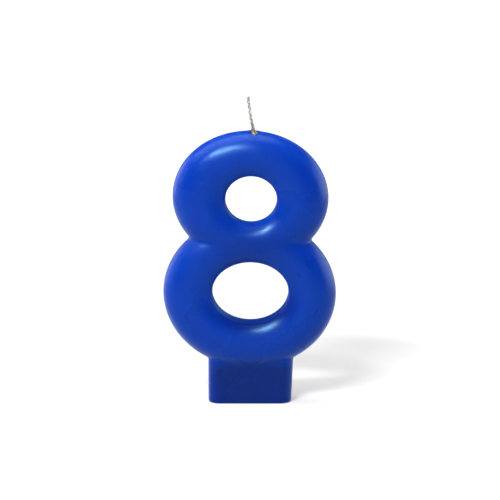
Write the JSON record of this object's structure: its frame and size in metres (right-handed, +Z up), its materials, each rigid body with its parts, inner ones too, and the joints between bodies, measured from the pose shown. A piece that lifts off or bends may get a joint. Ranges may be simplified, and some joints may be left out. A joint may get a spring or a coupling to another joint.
{
  "type": "number candle",
  "caption": "Puffy moulded-wax numeral candle with two looped strokes, a flat foot tab and a twisted cotton wick.",
  "frame": {"origin": "middle of the candle's footprint, on the surface that the foot tab stands on", "axes": "+Z up towards the wick, -Y out of the front of the numeral, +X to the right in the front view"},
  "size_m": [0.048, 0.0124, 0.0857],
  "materials": {
    "dyed_wax": "satin, moulded, slightly translucent paraffin wax",
    "primer_wax": "undyed paraffin wax, satin",
    "wick_cotton": "bleached twisted cotton, wax primed"
  },
  "bodies": {
    "root": {"wax_numeral": "dyed_wax", "wick_wax_bead": "primer_wax", "wick_ply_1": "wick_cotton", "wick_ply_2": "wick_cotton", "wick_ply_3": "wick_cotton"}
  },
  "joints": []
}
